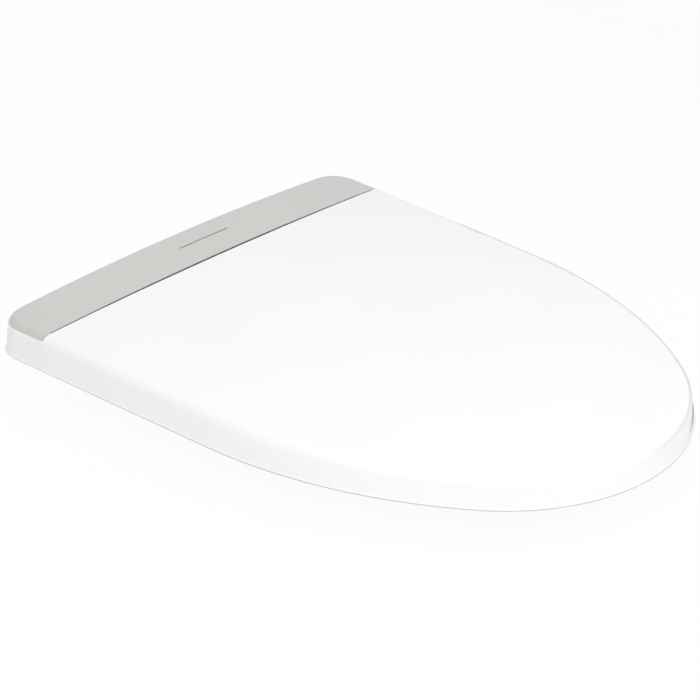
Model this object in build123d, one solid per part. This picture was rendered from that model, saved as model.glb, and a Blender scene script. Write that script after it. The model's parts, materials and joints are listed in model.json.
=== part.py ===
from build123d import *
import math
import os

# Plan of the closed seat, in millimetres: nose toward -y, z up from the bowl rim, origin between the bolts
OVERALL_WIDTH = 398.0
NOSE_REACH = 465.0
REAR_REACH = 50.0
NOSE_RADIUS = 151.0
HIP_RADIUS = 374.0
SIDE_FLARE = 1.6
FLARE_Y = 20.0
CORNER_RADIUS = 29.0
REAR_BOW_RADIUS = 6000.0

# Height and section of the lid and housing
EDGE_Z = 28.0
TOP_Z = 61.5
PROFILE_RADIUS = 13000.0
CROWN_RADIUS = 3700.0
SIDE_DRAFT = 7.2
SHOULDER_RADIUS = 8.0
FOOT_BAND = 1.6
FOOT_RISE = 1.2
FOOT_FLARE = 0.6
EDGE_ROUND = 1.2
LID_SKIN = 2.6
HOUSING_WALL = 2.4
PANEL_SKIN = 2.2

# Rear panel
PANEL_FRONT_Y = -11.0
PANEL_SEAM_Z = EDGE_Z + 24.4
SLOT_LENGTH = 55.0
SLOT_WIDTH = 1.8
SLOT_X = 11.0
SLOT_Y = 18.3
SLOT_CORNER = SLOT_WIDTH / 3
SLOT_DEPTH = 0.7
WINDOW_FLANGE = 4.0

# Hinge line shared by lid and seat
LID_SWEEP = 22.0
LID_GAP = 0.4
HINGE_DROP = 10.0
TROUGH_RADIUS = LID_SWEEP + LID_GAP
HINGE_Y = PANEL_FRONT_Y - TROUGH_RADIUS
HINGE_Z = TOP_Z - HINGE_DROP
SHAFT_RADIUS = 2.5
RUNNING_GAP = 0.05
EAR_RADIUS = 5.0
DAMPER_RADIUS = 4.8

# Stations along the hinge line, measured from the middle
SHAFT_X0 = 66.0
DAMPER_X0 = 62.0
BRACKET_X0 = 58.0
BRACKET_X1 = 94.0
EAR_THICK = 4.0
SEAT_LUG_X0 = 99.0
LUG_THICK = 6.0
LUG_GAP = 1.0
LID_LUG_X0 = SEAT_LUG_X0 + LUG_THICK + LUG_GAP

# Seat ring
SEAT_BOTTOM_Z = 13.0
SEAT_SPLIT_Z = 30.0
SEAT_DROP = 12.0
SEAT_INSET_TOP = 13.0
SEAT_INSET_BOTTOM = 28.0
SEAT_DRAFT = 8.0
SEAT_ROUND = 9.0
SEAT_BORE_ROUND = 7.0
SEAT_WALL = 2.6
SEAT_CORNER = 60.0
SEAT_REAR_Y = HINGE_Y - 6.6
OPENING_Y = -258.0
OPENING_HALF_WIDTH = 105.0
OPENING_HALF_LENGTH = 140.0
NOZZLE_BAY_HALF = 70.0
NOZZLE_BAY_Z = 22.0
HEATER_MAT = 0.6
HEATER_GAP = 0.3
BUMPER_RADIUS = 7.0
BUMPER_GAP = 0.4

# Fixed base
BASE_BOTTOM_Z = 4.0
TRAY_TOP_Z = 25.6
TRAY_FLOOR_Z = BASE_BOTTOM_Z + HOUSING_WALL
TONGUE_HALF = 96.0
TONGUE_FRONT_Y = -72.0
TONGUE_TOP_Z = 44.0
DECK_FRONT_Y = -36.0
LEDGE_TOP_Z = EDGE_Z + 2.0
DECK_HALF = OVERALL_WIDTH / 2 - 23.0
BELLY_HALF = DECK_HALF - 26.0
BELLY_REAR_Y = 36.0
TRAY_REAR_Y = 43.0
SHELF_INSET = 9.0
WINDOW_HALF = DECK_HALF - 10.0
WINDOW_Y0 = -1.0
WINDOW_Y1 = 33.0

# Bolt mounting
BOLT_SPACING = 140.0
BOLT_SLOT_LENGTH = 30.0
BOLT_RADIUS = 4.25
PLATE_HALF = 96.0
PLATE_Y0 = -24.0
PLATE_Y1 = 28.0
WELL_HALF_X = 21.0
WELL_HALF_Y = 12.0
WELL_TOP_Z = 15.0

# Nozzle drive
NOZZLE_TILT = 12.0
NOZZLE_EXIT_Z = 11.6
NOZZLE_PASS_Z = 33.0
NOZZLE_PORT_GAP = 1.2
WAND_RADIUS = 4.5
WAND_LENGTH = 104.0
WAND_TRAVEL = 75.0
TIP_LENGTH = 9.0
RACK_PITCH = 4.0
RACK_TEETH = 23
RACK_HEIGHT = 5.0
RACK_FACE = 8.0
TOOTH_DEPTH = 2.2
PINION_TEETH = 12
TOOTH_PLAY = 0.35
RACK_START = 14.0
TOOTH_MIDDLE = 1.95
PINION_BACK = RACK_START + TOOTH_MIDDLE + 1.5 * RACK_PITCH
PINION_RADIUS = PINION_TEETH * RACK_PITCH / (2 * math.pi)
PINION_X = RACK_FACE - TOOTH_DEPTH / 2 + PINION_RADIUS

# Dryer
DUCT_X0 = 27.0
DUCT_X1 = 46.0
DUCT_Z0 = 8.0
DUCT_Z1 = 22.0
DUCT_WALL = DUCT_Z0 - TRAY_FLOOR_Z
CROSS_Y0 = 14.0
CROSS_Y1 = 31.0
BLOWER_END_GAP = 12.0
BLOWER_RADIUS = 22.0
BLOWER_X = BELLY_HALF - BLOWER_END_GAP - BLOWER_RADIUS
SPOUT_X = BLOWER_X - BLOWER_RADIUS - 2.0
BLOWER_Y = 10.0
BLOWER_Z1 = 25.0
IMPELLER_GAP = 6.0
IMPELLER_RADIUS = BLOWER_RADIUS - IMPELLER_GAP
IMPELLER_VANES = 18
FLAP_THICK = 1.6
FLAP_PIN_RADIUS = 0.7

# Side and rear fittings
CARTRIDGE_X1 = WINDOW_HALF - 6.0
CARTRIDGE_X0 = CARTRIDGE_X1 - 26.0
CARTRIDGE_Z0 = 31.4
CARTRIDGE_Z1 = 42.0
SLIDE_GAP = 0.4
BUTTON_Y0 = 6.0
BUTTON_Y1 = 26.0
BUTTON_Z0 = 31.0
BUTTON_Z1 = 42.0
BUTTON_TRAVEL = 4.0
BUTTON_X0 = OVERALL_WIDTH / 2 - 13.0
SWITCH_X1 = BUTTON_X0 - 6.0
INLET_X = -72.0
VALVE_HALF = 16.0
HEATER_END_GAP = 4.0
HEATER_X0 = HEATER_END_GAP - BELLY_HALF
HEATER_X1 = INLET_X - VALVE_HALF - 10.0
HEATER_FINS = 5
GLAND_X = 72.0
FITTING_Z = 15.6
INLET_RADIUS = 8.3
GLAND_RADIUS = 7.0
FITTING_STEP_Y = TRAY_REAR_Y
FITTING_REAR_Y = FITTING_STEP_Y + 13.0
CORD_RADIUS = 3.6
BOARD_Z = 47.0
BOARD_THICK = 1.6

FAR = 600.0
TILT_TAN = math.tan(math.radians(SIDE_DRAFT))
TILT_COS = math.cos(math.radians(SIDE_DRAFT))


def block(x0, x1, y0, y1, z0, z1):
    """Box between two corners."""
    centre = Pos((x0 + x1) / 2, (y0 + y1) / 2, (z0 + z1) / 2)
    return centre * Box(x1 - x0, y1 - y0, z1 - z0)


def rod_x(x0, x1, y, z, radius):
    """Round bar along x."""
    return Pos((x0 + x1) / 2, y, z) * Rot(0, 90, 0) * Cylinder(radius, x1 - x0)


def rod_y(x, y0, y1, z, radius):
    """Round bar along y."""
    return Pos(x, (y0 + y1) / 2, z) * Rot(90, 0, 0) * Cylinder(radius, y1 - y0)


def rod_z(x, y, z0, z1, radius):
    """Round bar along z."""
    return Pos(x, y, (z0 + z1) / 2) * Cylinder(radius, z1 - z0)


def meet(px, py, dx, dy, cx, cy, radius):
    """Rearmost point where the line through (px, py) along (dx, dy) meets a circle."""
    b = (px - cx) * dx + (py - cy) * dy
    c = (px - cx) ** 2 + (py - cy) ** 2 - radius ** 2
    t = -b + math.sqrt(b * b - c)
    return px + t * dx, py + t * dy


def arc(centre, radius, start, end):
    """Arc about a centre from one point to another, the short way."""
    ux = start[0] + end[0] - 2 * centre[0]
    uy = start[1] + end[1] - 2 * centre[1]
    length = math.hypot(ux, uy)
    middle = (centre[0] + radius * ux / length, centre[1] + radius * uy / length)
    return Edge.make_three_point_arc(start, middle, end)


def outline(inset, corner_radius=CORNER_RADIUS):
    """Plan outline of the closed seat, moved inward by an inset."""
    flare = math.radians(SIDE_FLARE)
    dx, dy = math.sin(flare), math.cos(flare)
    nx, ny = -math.cos(flare), math.sin(flare)
    half = OVERALL_WIDTH / 2
    nose = (0.0, NOSE_RADIUS - NOSE_REACH)
    hip = meet(half + HIP_RADIUS * nx, FLARE_Y + HIP_RADIUS * ny, dx, dy, *nose, HIP_RADIUS - NOSE_RADIUS)
    bow = (0.0, REAR_REACH - REAR_BOW_RADIUS)
    away = REAR_BOW_RADIUS - corner_radius
    corner = meet(half + corner_radius * nx, FLARE_Y + corner_radius * ny, dx, dy, *bow, away)
    span = HIP_RADIUS - NOSE_RADIUS
    reach = NOSE_RADIUS - inset
    p1 = (nose[0] + reach * (nose[0] - hip[0]) / span, nose[1] + reach * (nose[1] - hip[1]) / span)
    p2 = (hip[0] - (HIP_RADIUS - inset) * nx, hip[1] - (HIP_RADIUS - inset) * ny)
    bend = corner_radius - inset
    p3 = (corner[0] - bend * nx, corner[1] - bend * ny)
    p4 = (corner[0] + bend * (corner[0] - bow[0]) / away, corner[1] + bend * (corner[1] - bow[1]) / away)
    right = [arc(hip, HIP_RADIUS - inset, p1, p2), Edge.make_line(p2, p3), arc(corner, bend, p3, p4)]
    left = [edge.mirror(Plane.YZ) for edge in right]
    tip = Edge.make_three_point_arc((-p1[0], p1[1]), (0, inset - NOSE_REACH), p1)
    back = Edge.make_three_point_arc(p4, (0, REAR_REACH - inset), (-p4[0], p4[1]))
    return Face(Wire([tip, *right, back, *left]))


def crown(drop):
    """Body below the crowned top surface, lowered by a drop."""
    half = OVERALL_WIDTH * 0.6
    top = TOP_Z - drop
    bend = CROWN_RADIUS - drop
    sag = bend - math.sqrt(bend ** 2 - half ** 2)
    floor = -60.0
    edges = [
        Edge.make_three_point_arc((-half, 0, top - sag), (0, 0, top), (half, 0, top - sag)),
        Edge.make_line((half, 0, top - sag), (half, 0, floor)),
        Edge.make_line((half, 0, floor), (-half, 0, floor)),
        Edge.make_line((-half, 0, floor), (-half, 0, top - sag)),
    ]
    axis = Axis((0, 0, TOP_Z - PROFILE_RADIUS), (1, 0, 0))
    behind = math.degrees(REAR_REACH * 1.5 / PROFILE_RADIUS)
    ahead = math.degrees(NOSE_REACH * 1.1 / PROFILE_RADIUS)
    return revolve(Face(Wire(edges)).rotate(axis, -behind), axis, behind + ahead)


def upward_face(form):
    """Largest face that looks up."""
    faces = [face for face in form.faces() if face.normal_at().Z > 0.9]
    return max(faces, key=lambda face: face.area)


def envelope(wall):
    """Whole closed form of lid and housing, moved inward by a wall thickness."""
    start = EDGE_Z if wall == 0 else EDGE_Z - 1.0
    inset = FOOT_FLARE + wall / TILT_COS + (start - EDGE_Z) * TILT_TAN
    sides = extrude(Pos(0, 0, start) * outline(inset), amount=TOP_Z - start + 2.0, taper=SIDE_DRAFT)
    form = sides & crown(wall)
    return fillet(upward_face(form).edges(), SHOULDER_RADIUS - wall)


def foot():
    """Flared lip round the lower edge of lid and housing."""
    band = extrude(Pos(0, 0, EDGE_Z) * outline(0.0), amount=FOOT_BAND)
    band = fillet(band.faces().sort_by(Axis.Z)[0].edges(), EDGE_ROUND)
    angle = math.degrees(math.atan2(FOOT_FLARE, FOOT_RISE))
    return band + extrude(Pos(0, 0, EDGE_Z + FOOT_BAND) * outline(0.0), amount=FOOT_RISE, taper=angle)


OUTER = envelope(0.0) + foot()


def hinge_arm(x0, x1, foot_y0, foot_y1, foot_z0, foot_z1):
    """Arm that reaches from a foot to the hinge line and ends round."""
    middle = Pos((foot_y0 + foot_y1) / 2, (foot_z0 + foot_z1) / 2)
    foot = middle * Rectangle(foot_y1 - foot_y0, foot_z1 - foot_z0)
    eye = Pos(HINGE_Y, HINGE_Z) * Circle(EAR_RADIUS)
    profile = make_hull(foot.edges() + eye.edges())
    return extrude(Plane((x0, 0, 0), (0, 1, 0), (1, 0, 0)) * profile, amount=x1 - x0)


def lid_reach():
    """Room of the lid: ahead of the panel, and inside its own sweep about the hinge."""
    rear = HINGE_Y + LID_SWEEP
    top = HINGE_Z + LID_SWEEP
    bend = math.sqrt(0.5) * LID_SWEEP
    edges = [
        Edge.make_line((0, rear, 0), (0, rear, HINGE_Z)),
        Edge.make_three_point_arc((0, rear, HINGE_Z), (0, HINGE_Y + bend, HINGE_Z + bend), (0, HINGE_Y, top)),
        Edge.make_line((0, HINGE_Y, top), (0, -FAR, top)),
        Edge.make_line((0, -FAR, top), (0, -FAR, 0)),
        Edge.make_line((0, -FAR, 0), (0, rear, 0)),
    ]
    return extrude(Face(Wire(edges)), amount=FAR, dir=(1, 0, 0), both=True)


def lid_shell():
    """Lid: crowned skin, drafted rim and two hinge lugs."""
    form = OUTER & lid_reach()
    shell = form - envelope(LID_SKIN)
    for side in (-1, 1):
        x0, x1 = sorted((side * LID_LUG_X0, side * (LID_LUG_X0 + LUG_THICK)))
        lug = hinge_arm(x0, x1, HINGE_Y - 6, HINGE_Y + 6, HINGE_Z + 5, TOP_Z)
        shell += lug & crown(LID_SKIN / 2)
    reach = LID_LUG_X0 + LUG_THICK + 2.0
    fixed = rod_x(0, reach, HINGE_Y, HINGE_Z, SHAFT_RADIUS)
    free = rod_x(-reach, 0, HINGE_Y, HINGE_Z, SHAFT_RADIUS + RUNNING_GAP)
    return shell - fixed - free


def lid_bumpers():
    """Four rubber pads under the lid."""
    x = OVERALL_WIDTH / 2 - 49.0
    y = 37.0 - NOSE_REACH
    places = [(-x, -190), (x, -190), (-52, y), (52, y)]
    pads = Part()
    for x, y in places:
        pads += rod_z(x, y, SEAT_SPLIT_Z, TOP_Z, BUMPER_RADIUS)
    return (pads & crown(LID_SKIN)) - crown(SEAT_DROP - BUMPER_GAP)


def opening(grow, z0, z1):
    """Oval opening of the seat ring."""
    oval = Ellipse(OPENING_HALF_WIDTH + grow, OPENING_HALF_LENGTH + grow)
    return extrude(Pos(0, OPENING_Y, z0) * oval, amount=z1 - z0)


def seat_trim(form, wall):
    """Cut the seat back to the hinge and clear the base tongue."""
    form = form & block(-FAR, FAR, -FAR, SEAT_REAR_Y - wall, -FAR, FAR)
    clear = SEAT_LUG_X0 + wall
    return form - block(-clear, clear, TONGUE_FRONT_Y - 4.0 - wall, FAR, -FAR, FAR)


def seat_top_form(wall):
    """Upper half of the seat ring, moved inward by a wall thickness."""
    start = SEAT_SPLIT_Z if wall == 0 else SEAT_SPLIT_Z - 1.0
    shift = (start - SEAT_SPLIT_Z) * math.tan(math.radians(SEAT_DRAFT))
    plan = outline(SEAT_INSET_TOP + wall + shift, SEAT_CORNER)
    sides = extrude(Pos(0, 0, start) * plan, amount=TOP_Z - start, taper=SEAT_DRAFT)
    form = seat_trim((sides - opening(wall, 0, FAR)) & crown(SEAT_DROP + wall), wall)
    form = fillet(upward_face(form).outer_wire().edges(), SEAT_ROUND - wall)
    bore = upward_face(form).inner_wires()[0].edges()
    return fillet(bore, SEAT_BORE_ROUND - wall)


def seat_upper():
    """Seat upper shell with its hinge lugs."""
    shell = seat_top_form(0.0) - seat_top_form(SEAT_WALL)
    for side in (-1, 1):
        x0, x1 = sorted((side * SEAT_LUG_X0, side * (SEAT_LUG_X0 + LUG_THICK)))
        shell += hinge_arm(x0, x1, SEAT_REAR_Y - 12, SEAT_REAR_Y, SEAT_SPLIT_Z + 4, HINGE_Z - 5)
    fixed = rod_x(-FAR, 0, HINGE_Y, HINGE_Z, SHAFT_RADIUS)
    free = rod_x(0, FAR, HINGE_Y, HINGE_Z, SHAFT_RADIUS + RUNNING_GAP)
    return shell - fixed - free


def seat_low_form(wall):
    """Lower half of the seat ring, flared from its foot to the parting line."""
    low = Pos(0, 0, SEAT_BOTTOM_Z + wall) * outline(SEAT_INSET_BOTTOM + wall / 2, SEAT_CORNER)
    high = Pos(0, 0, SEAT_SPLIT_Z + wall / 2) * outline(SEAT_INSET_TOP + wall, SEAT_CORNER)
    form = loft([low, high], ruled=True)
    form = seat_trim(form, wall) - opening(wall, 0, FAR)
    bay = NOZZLE_BAY_HALF + wall
    rear = OPENING_Y + OPENING_HALF_LENGTH / 2
    return form - block(-bay, bay, rear, FAR, -FAR, NOZZLE_BAY_Z + wall)


def seat_lower():
    """Seat lower shell with a bay for the nozzle."""
    return seat_low_form(0.0) - seat_low_form(SEAT_WALL)


def seat_heater():
    """Warming mat under the seat's top skin."""
    under = SEAT_DROP + SEAT_WALL + HEATER_GAP
    mat = crown(under) - crown(under + HEATER_MAT)
    area = extrude(outline(SEAT_INSET_TOP + 22.0, SEAT_CORNER), amount=FAR)
    mat = mat & area & block(-FAR, FAR, -FAR, TONGUE_FRONT_Y - 24.0, 0, FAR)
    return mat - opening(16.0, 0, FAR)


def seat_bumpers():
    """Four rubber feet under the seat."""
    places = [(-140, -150, 90), (140, -150, 90), (-87, -351, -59), (87, -351, 59)]
    feet = Part()
    for x, y, turn in places:
        pad = extrude(Pos(x, y, 0) * Rot(0, 0, turn) * RectangleRounded(18, 9, 4), amount=SEAT_BOTTOM_Z)
        feet += fillet(pad.faces().sort_by(Axis.Z)[0].edges(), 2.0)
    return feet


def hinge_shaft(side):
    """Keyed hinge shaft of one side."""
    x0, x1 = sorted((side * SHAFT_X0, side * (LID_LUG_X0 + LUG_THICK + 1.0)))
    shaft = rod_x(x0, x1, HINGE_Y, HINGE_Z, SHAFT_RADIUS)
    return chamfer(shaft.edges(), 0.5)


def damper(side):
    """Rotary damper barrel of one side."""
    x0, x1 = sorted((side * DAMPER_X0, side * (BRACKET_X1 - EAR_THICK)))
    barrel = rod_x(x0, x1, HINGE_Y, HINGE_Z, DAMPER_RADIUS)
    for step in range(3):
        at = side * (DAMPER_X0 + 6.0 + 7.0 * step)
        ring = rod_x(at - 0.6, at + 0.6, HINGE_Y, HINGE_Z, DAMPER_RADIUS + 1.0)
        barrel -= ring - rod_x(at - 1.0, at + 1.0, HINGE_Y, HINGE_Z, DAMPER_RADIUS - 0.5)
    b0, b1 = sorted((side * (SHAFT_X0 - 1.0), side * FAR))
    return barrel - rod_x(b0, b1, HINGE_Y, HINGE_Z, SHAFT_RADIUS + RUNNING_GAP)


def hinge_bracket(side):
    """Bracket on the tongue that holds one damper between two ears."""
    y0, y1 = TONGUE_FRONT_Y + 10.0, HINGE_Y - 8.0
    z0, z1 = TONGUE_TOP_Z, TONGUE_TOP_Z + 2.0
    x0, x1 = sorted((side * BRACKET_X0, side * BRACKET_X1))
    plate = block(x0, x1, y0, y1, z0, z1)
    for near in (BRACKET_X0, BRACKET_X1 - EAR_THICK):
        e0, e1 = sorted((side * near, side * (near + EAR_THICK)))
        plate += hinge_arm(e0, e1, y0 + 8.0, y1, z0, z1)
    b0, b1 = sorted((side * (BRACKET_X1 - EAR_THICK - 1.0), side * FAR))
    plate -= rod_x(b0, b1, HINGE_Y, HINGE_Z, SHAFT_RADIUS + RUNNING_GAP)
    for x, y in bracket_screw_places(side):
        plate -= rod_z(x, y, z0 - 1, z1 + 1, 1.6)
    return plate


def bracket_screw_places(side):
    """Screw positions of one hinge bracket."""
    y = TONGUE_FRONT_Y + 14.0
    return [(side * (BRACKET_X0 + 9.0), y), (side * (BRACKET_X1 - 9.0), y)]


def screw(x, y, z, length):
    """Pan head screw with a cross recess."""
    head = rod_z(x, y, z, z + 1.8, 2.8)
    head = fillet(head.faces().sort_by(Axis.Z)[-1].edges(), 0.8)
    head -= block(x - 1.7, x + 1.7, y - 0.4, y + 0.4, z + 0.9, z + 2.0)
    head -= block(x - 0.4, x + 0.4, y - 1.7, y + 1.7, z + 0.9, z + 2.0)
    return head + rod_z(x, y, z - length, z, 1.5)


def bracket_screws():
    """Four screws that hold the hinge brackets."""
    screws = Part()
    for side in (-1, 1):
        for x, y in bracket_screw_places(side):
            screws += screw(x, y, TONGUE_TOP_Z + 2.0, 2.0 + HOUSING_WALL)
    return screws


def trough(radius, x1):
    """Sweep of the lid's rear edge round the hinge line."""
    sweep = rod_x(-x1, x1, HINGE_Y, HINGE_Z, radius)
    return sweep & block(-x1, x1, HINGE_Y - 3.0, FAR, -FAR, HINGE_Z)


def base_cover():
    """White housing: sides, shelf, front wall, trough floor and tongue."""
    behind = block(-FAR, FAR, PANEL_FRONT_Y, FAR, EDGE_Z, PANEL_SEAM_Z)
    inside = envelope(HOUSING_WALL) & block(-FAR, FAR, PANEL_FRONT_Y + HOUSING_WALL, FAR, 0, FAR)
    sides = (OUTER & behind) - inside
    shelf = extrude(Pos(0, 0, TRAY_TOP_Z) * outline(SHELF_INSET), amount=EDGE_Z - TRAY_TOP_Z)
    shelf = shelf & block(-FAR, FAR, PANEL_FRONT_Y, FAR, 0, FAR)
    shelf += OUTER & block(-FAR, FAR, PANEL_FRONT_Y, FAR, EDGE_Z, LEDGE_TOP_Z)
    shelf += block(-DECK_HALF, DECK_HALF, DECK_FRONT_Y, PANEL_FRONT_Y + 1.0, TRAY_TOP_Z, EDGE_Z)
    shelf -= block(-WINDOW_HALF, WINDOW_HALF, WINDOW_Y0, WINDOW_Y1, 0, FAR)
    tongue = block(-TONGUE_HALF, TONGUE_HALF, TONGUE_FRONT_Y, PANEL_FRONT_Y, TRAY_TOP_Z, TONGUE_TOP_Z)
    front = tongue.edges().filter_by(Axis.X).group_by(Axis.Z)[-1].sort_by(Axis.Y)[0]
    tongue = fillet(front, 4.0)
    w = HOUSING_WALL
    half = TONGUE_HALF - w
    room = block(-half, half, TONGUE_FRONT_Y + w, PANEL_FRONT_Y + 2.0, 0, TONGUE_TOP_Z - w)
    room -= trough(TROUGH_RADIUS + w, FAR)
    room -= block(-FAR, FAR, HINGE_Y - 3.0 - w, HINGE_Y, HINGE_Z - TROUGH_RADIUS - w, FAR)
    cover = sides + shelf + tongue
    cover -= room
    cover -= trough(TROUGH_RADIUS, FAR) & block(-FAR, FAR, -FAR, PANEL_FRONT_Y, EDGE_Z, FAR)
    g = SLIDE_GAP
    cover -= block(-10.0, 12.0, PANEL_FRONT_Y, WINDOW_Y0 + 1.0, 0, NOZZLE_PASS_Z)
    cover -= block(CARTRIDGE_X0 - g, CARTRIDGE_X1 + g, WINDOW_Y1, FAR, CARTRIDGE_Z0 - g, CARTRIDGE_Z1 + g)
    cover -= block(BUTTON_X0, FAR, BUTTON_Y0 - g, BUTTON_Y1 + g, BUTTON_Z0 - g, BUTTON_Z1 + g)
    for side in (-1, 1):
        for x, y in bracket_screw_places(side):
            cover -= rod_z(x, y, TONGUE_TOP_Z - w - 1, TONGUE_TOP_Z + 1, 1.5)
    return cover


def top_panel():
    """Grey strip over the housing, with the slot for the status window."""
    behind = block(-FAR, FAR, PANEL_FRONT_Y, FAR, PANEL_SEAM_Z, FAR)
    slot = RectangleRounded(SLOT_LENGTH, SLOT_WIDTH, SLOT_CORNER)
    behind -= extrude(Pos(SLOT_X, SLOT_Y, PANEL_SEAM_Z) * slot, amount=FAR)
    room = envelope(PANEL_SKIN) & block(-FAR, FAR, PANEL_FRONT_Y + PANEL_SKIN, FAR, 0, FAR)
    return (OUTER & behind) - room


def status_window():
    """Dark lens that fills the slot from below."""
    reach = TOP_Z - PANEL_SEAM_Z + 5.0
    slot = RectangleRounded(SLOT_LENGTH, SLOT_WIDTH, SLOT_CORNER)
    lens = extrude(Pos(SLOT_X, SLOT_Y, PANEL_SEAM_Z) * slot, amount=reach) & crown(SLOT_DEPTH)
    lens -= crown(PANEL_SKIN)
    size = SLOT_LENGTH + WINDOW_FLANGE, SLOT_WIDTH + WINDOW_FLANGE
    flange = extrude(Pos(SLOT_X, SLOT_Y, PANEL_SEAM_Z) * Rectangle(*size), amount=reach)
    return lens + ((flange & crown(PANEL_SKIN)) - crown(PANEL_SKIN + 1.2))


def tray_form(wall):
    """Belly of the base with its tongue, moved inward by a wall thickness."""
    low_z = BASE_BOTTOM_Z + wall
    y0 = DECK_FRONT_Y + wall
    low_y = (y0 + BELLY_REAR_Y - wall) / 2
    high_y = (y0 + TRAY_REAR_Y - wall) / 2
    low_depth = BELLY_REAR_Y - wall - y0
    high_depth = TRAY_REAR_Y - wall - y0
    low = Pos(0, low_y, low_z) * RectangleRounded(2 * (BELLY_HALF - wall), low_depth, 8.0)
    high = Pos(0, high_y, TRAY_TOP_Z) * RectangleRounded(2 * (DECK_HALF - wall), high_depth, 10.0)
    belly = loft([low.face(), high.face()], ruled=True)
    half = TONGUE_HALF - wall
    return belly + block(-half, half, TONGUE_FRONT_Y + wall, 0, low_z, TRAY_TOP_Z)


def nozzle_place(distance):
    """Point on the nozzle line, measured back from the tongue's front face."""
    tilt = math.radians(NOZZLE_TILT)
    return TONGUE_FRONT_Y + distance * math.cos(tilt), NOZZLE_EXIT_Z + distance * math.sin(tilt)


def nozzle_plane(distance):
    """Plane across the nozzle line, with x across and its normal toward the nose."""
    tilt = math.radians(NOZZLE_TILT)
    y, z = nozzle_place(distance)
    return Plane((0, y, z), (1, 0, 0), (0, -math.cos(tilt), -math.sin(tilt)))


def bolt_places():
    """Middles of the two bolt slots."""
    return [-BOLT_SPACING / 2, BOLT_SPACING / 2]


def base_tray():
    """Lower housing with bolt wells, nozzle port, dryer outlet and fitting holes."""
    tray = tray_form(0.0) - tray_form(HOUSING_WALL)
    for x in bolt_places():
        x0, x1 = x - WELL_HALF_X, x + WELL_HALF_X
        well = block(x0, x1, -WELL_HALF_Y, WELL_HALF_Y, BASE_BOTTOM_Z, WELL_TOP_Z)
        w = 1.8
        tray += well
        tray -= block(x0 + w, x1 - w, w - WELL_HALF_Y, WELL_HALF_Y - w, 0, WELL_TOP_Z - w)
    rack_room = RACK_FACE + NOZZLE_PORT_GAP
    mouth = Circle(WAND_RADIUS + NOZZLE_PORT_GAP)
    mouth += Pos(rack_room / 2, 0) * Rectangle(rack_room, RACK_HEIGHT + 2 * NOZZLE_PORT_GAP)
    port = extrude(nozzle_plane(-30) * mouth, amount=-60)
    tray -= port & block(-FAR, FAR, -FAR, TONGUE_FRONT_Y + HOUSING_WALL + 1, 0, FAR)
    tray -= block(DUCT_X0, DUCT_X1, TONGUE_FRONT_Y - 1, TONGUE_FRONT_Y + HOUSING_WALL + 1, DUCT_Z0, DUCT_Z1)
    pin_y, pin_z = flap_axis()
    tray -= rod_x(DUCT_X0 - 2.2, DUCT_X1 + 2.2, pin_y, pin_z, FLAP_PIN_RADIUS + RUNNING_GAP)
    tray -= rod_y(INLET_X, 20, 60, FITTING_Z, INLET_RADIUS - 1.3)
    return tray - rod_y(GLAND_X, 20, 60, FITTING_Z, GLAND_RADIUS)


def mounting_plate():
    """Plate bolted to the bowl, with two adjusting slots."""
    plate = block(-PLATE_HALF, PLATE_HALF, PLATE_Y0, PLATE_Y1, 0, BASE_BOTTOM_Z)
    plate = fillet(plate.edges().filter_by(Axis.Z), 8.0)
    for x in bolt_places():
        slot = SlotOverall(BOLT_SLOT_LENGTH, 2 * BOLT_RADIUS)
        plate -= extrude(Pos(x, 0, -1) * slot, amount=BASE_BOTTOM_Z + 2)
    return plate


def base_feet():
    """Rubber pads under the ends of the base."""
    feet = Part()
    for x in (-128, 128):
        for y in (-26, 26):
            feet += rod_z(x, y, 0, BASE_BOTTOM_Z, 7.0)
    return chamfer(feet.faces().filter_by(Axis.Z).sort_by(Axis.Z)[:4].edges(), 1.0)


def nozzle_wand():
    """Spray wand with the toothed rack along its side."""
    wand = extrude(nozzle_plane(0) * Circle(WAND_RADIUS), amount=-WAND_LENGTH)
    base = RACK_FACE - TOOTH_DEPTH
    points = [(RACK_START, 0.0), (RACK_START, base)]
    for step in range(RACK_TEETH - 2):
        at = RACK_START + TOOTH_MIDDLE + RACK_PITCH * step
        points += [(at - 0.95, base), (at - 0.35, RACK_FACE), (at + 0.35, RACK_FACE), (at + 0.95, base)]
    end = RACK_START + TOOTH_MIDDLE + RACK_PITCH * (RACK_TEETH - 2)
    points += [(end, base), (end, 0.0)]
    tilt = math.radians(NOZZLE_TILT)
    y, z = nozzle_place(0)
    side = Plane((0, y, z), (0, math.cos(tilt), math.sin(tilt)), (0, math.sin(tilt), -math.cos(tilt)))
    rack = extrude(side * make_face(Polyline(*points, close=True)), amount=RACK_HEIGHT / 2, both=True)
    return wand + rack


def nozzle_tip():
    """Rounded spray tip with two jets on its top."""
    tip = extrude(nozzle_plane(0) * Circle(WAND_RADIUS), amount=TIP_LENGTH)
    tip = fillet(tip.faces().sort_by(Axis.Y)[0].edges(), 2.0)
    for step in (3.5, 6.0):
        y, z = nozzle_place(-step)
        tip -= Pos(0, y, z + WAND_RADIUS) * Cylinder(0.7, 3.0)
    return tip


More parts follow.
